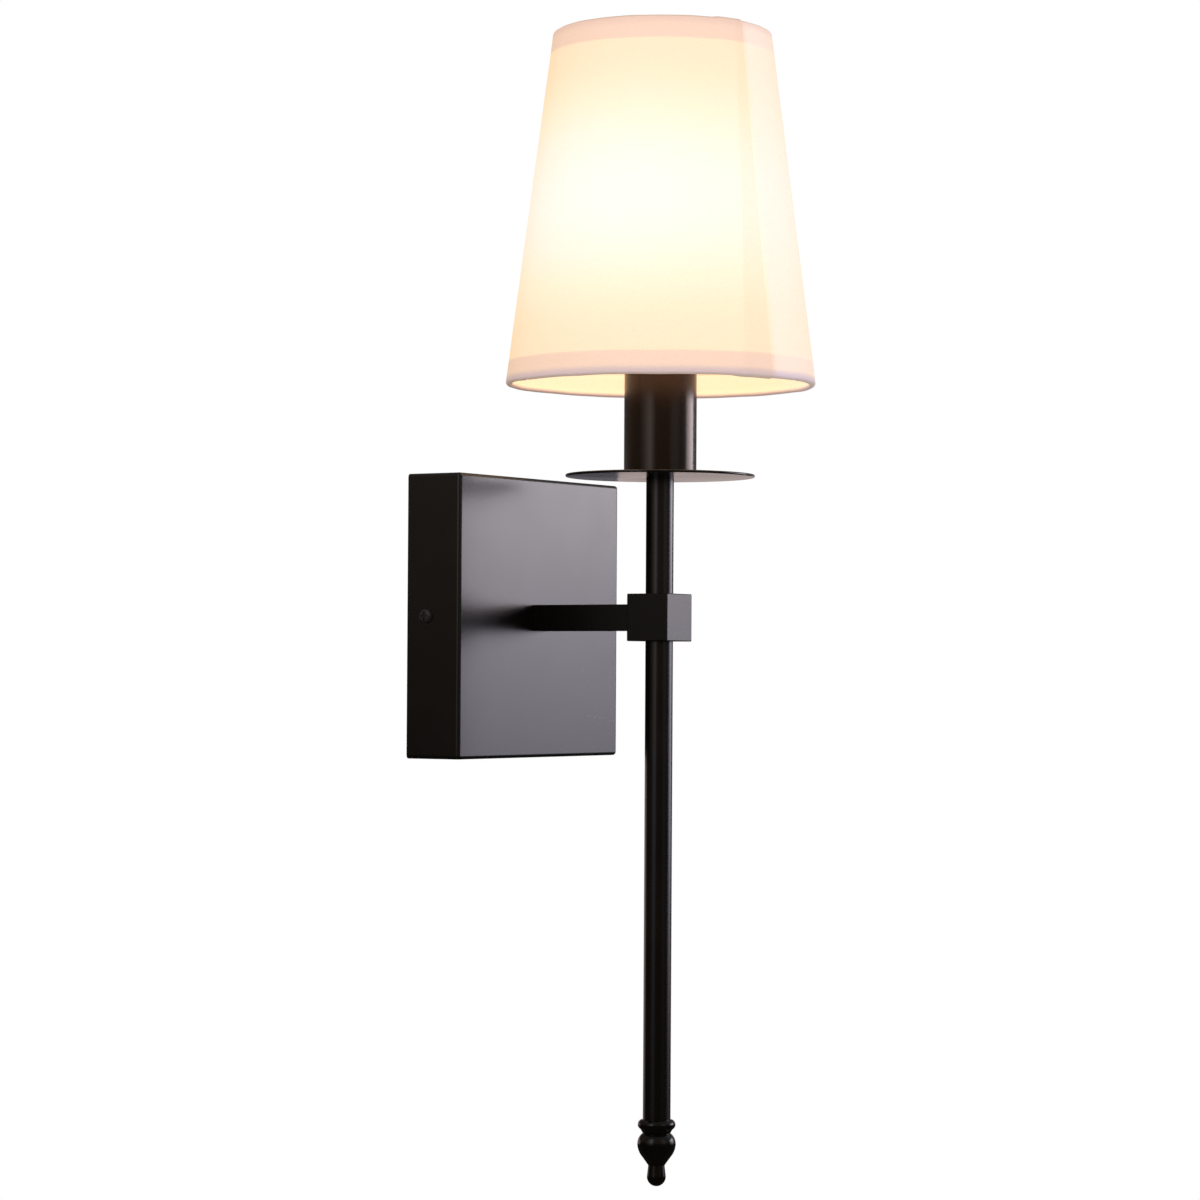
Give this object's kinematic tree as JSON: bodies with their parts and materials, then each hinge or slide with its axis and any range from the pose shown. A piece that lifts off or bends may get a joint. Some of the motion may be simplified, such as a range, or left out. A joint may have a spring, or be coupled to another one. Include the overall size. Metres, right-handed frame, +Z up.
{
  "type": "wall lamp",
  "caption": "Wall lamp: nearly square canopy, short arm and slim rod with a turned finial, carrying a drip pan, candle sleeve and tapered fabric shade over a screw-in bulb.",
  "frame": {"origin": "middle of the wall bracket's back face, on the wall plane", "axes": "+Z up along the rods, +Y into the wall, so the lamp stands out towards -Y, and +X to the right for someone facing the wall"},
  "size_m": [0.1396, 0.1623, 0.5191],
  "materials": {
    "black_metal": "satin black paint, slightly warm",
    "zinc_steel": "bright zinc plate",
    "green_screw": "green dyed zinc",
    "brass": "bare brass",
    "white_wire": "white powder coat",
    "shade_cloth": "fine plain weave, off-white",
    "shade_liner": "translucent white film",
    "phenolic": "moulded phenolic",
    "white_plastic": "moulded white",
    "frosted_glass": "inside frosted",
    "base_metal": "rolled sheet",
    "black_glass": "black glass insulator",
    "solder": "dull solder",
    "black_lead": "insulated stranded lead",
    "white_lead": "insulated stranded lead",
    "green_lead": "insulated stranded lead",
    "orange_plastic": "moulded connector"
  },
  "bodies": {
    "fixture": {"canopy": "black_metal", "canopy_screws": "black_metal", "arm": "black_metal", "cross_block": "black_metal", "upper_rod": "black_metal", "lower_rod": "black_metal", "finial": "black_metal", "drip_pan": "black_metal", "candle_sleeve": "black_metal", "wall_bracket": "zinc_steel", "canopy_tube": "zinc_steel", "canopy_washer": "zinc_steel", "canopy_nut": "zinc_steel", "rear_tube": "zinc_steel", "upper_tube": "zinc_steel", "lower_tube": "zinc_steel", "socket_tube": "zinc_steel", "socket_washer": "zinc_steel", "socket_nut": "zinc_steel", "ground_screw": "green_screw", "ground_tag": "brass", "screw_shell": "brass", "centre_contact": "brass", "terminal_screws": "brass", "socket_cap": "phenolic", "socket_body": "phenolic", "tube_bush": "white_plastic", "line_lead": "black_lead", "neutral_lead": "white_lead", "ground_lead": "green_lead", "wire_connectors": "orange_plastic"},
    "shade": {"shade_fabric": "shade_cloth", "shade_liner": "shade_liner", "bottom_wire": "white_wire", "top_wire": "white_wire", "shade_fitter": "white_wire"},
    "ring": {"shade_ring": "white_plastic"},
    "bulb": {"bulb_glass": "frosted_glass", "bulb_base": "base_metal", "bulb_insulator": "black_glass", "bulb_contact": "solder"}
  },
  "joints": [
    {"name": "shade_turn", "type": "hinge", "parent": "fixture", "child": "shade", "pos_m": [0, -0.0925, 0.12], "axis": [0, 0, 1], "continuous": true},
    {"name": "ring_turn", "type": "hinge", "parent": "fixture", "child": "ring", "pos_m": [0, -0.0925, 0.126], "axis": [0, 0, 1], "range_deg": [0, 1080]},
    {"name": "bulb_lift", "type": "slide", "parent": "fixture", "child": "bulb", "axis": [0, 0, 1], "range_m": [0, 0.165]}
  ]
}
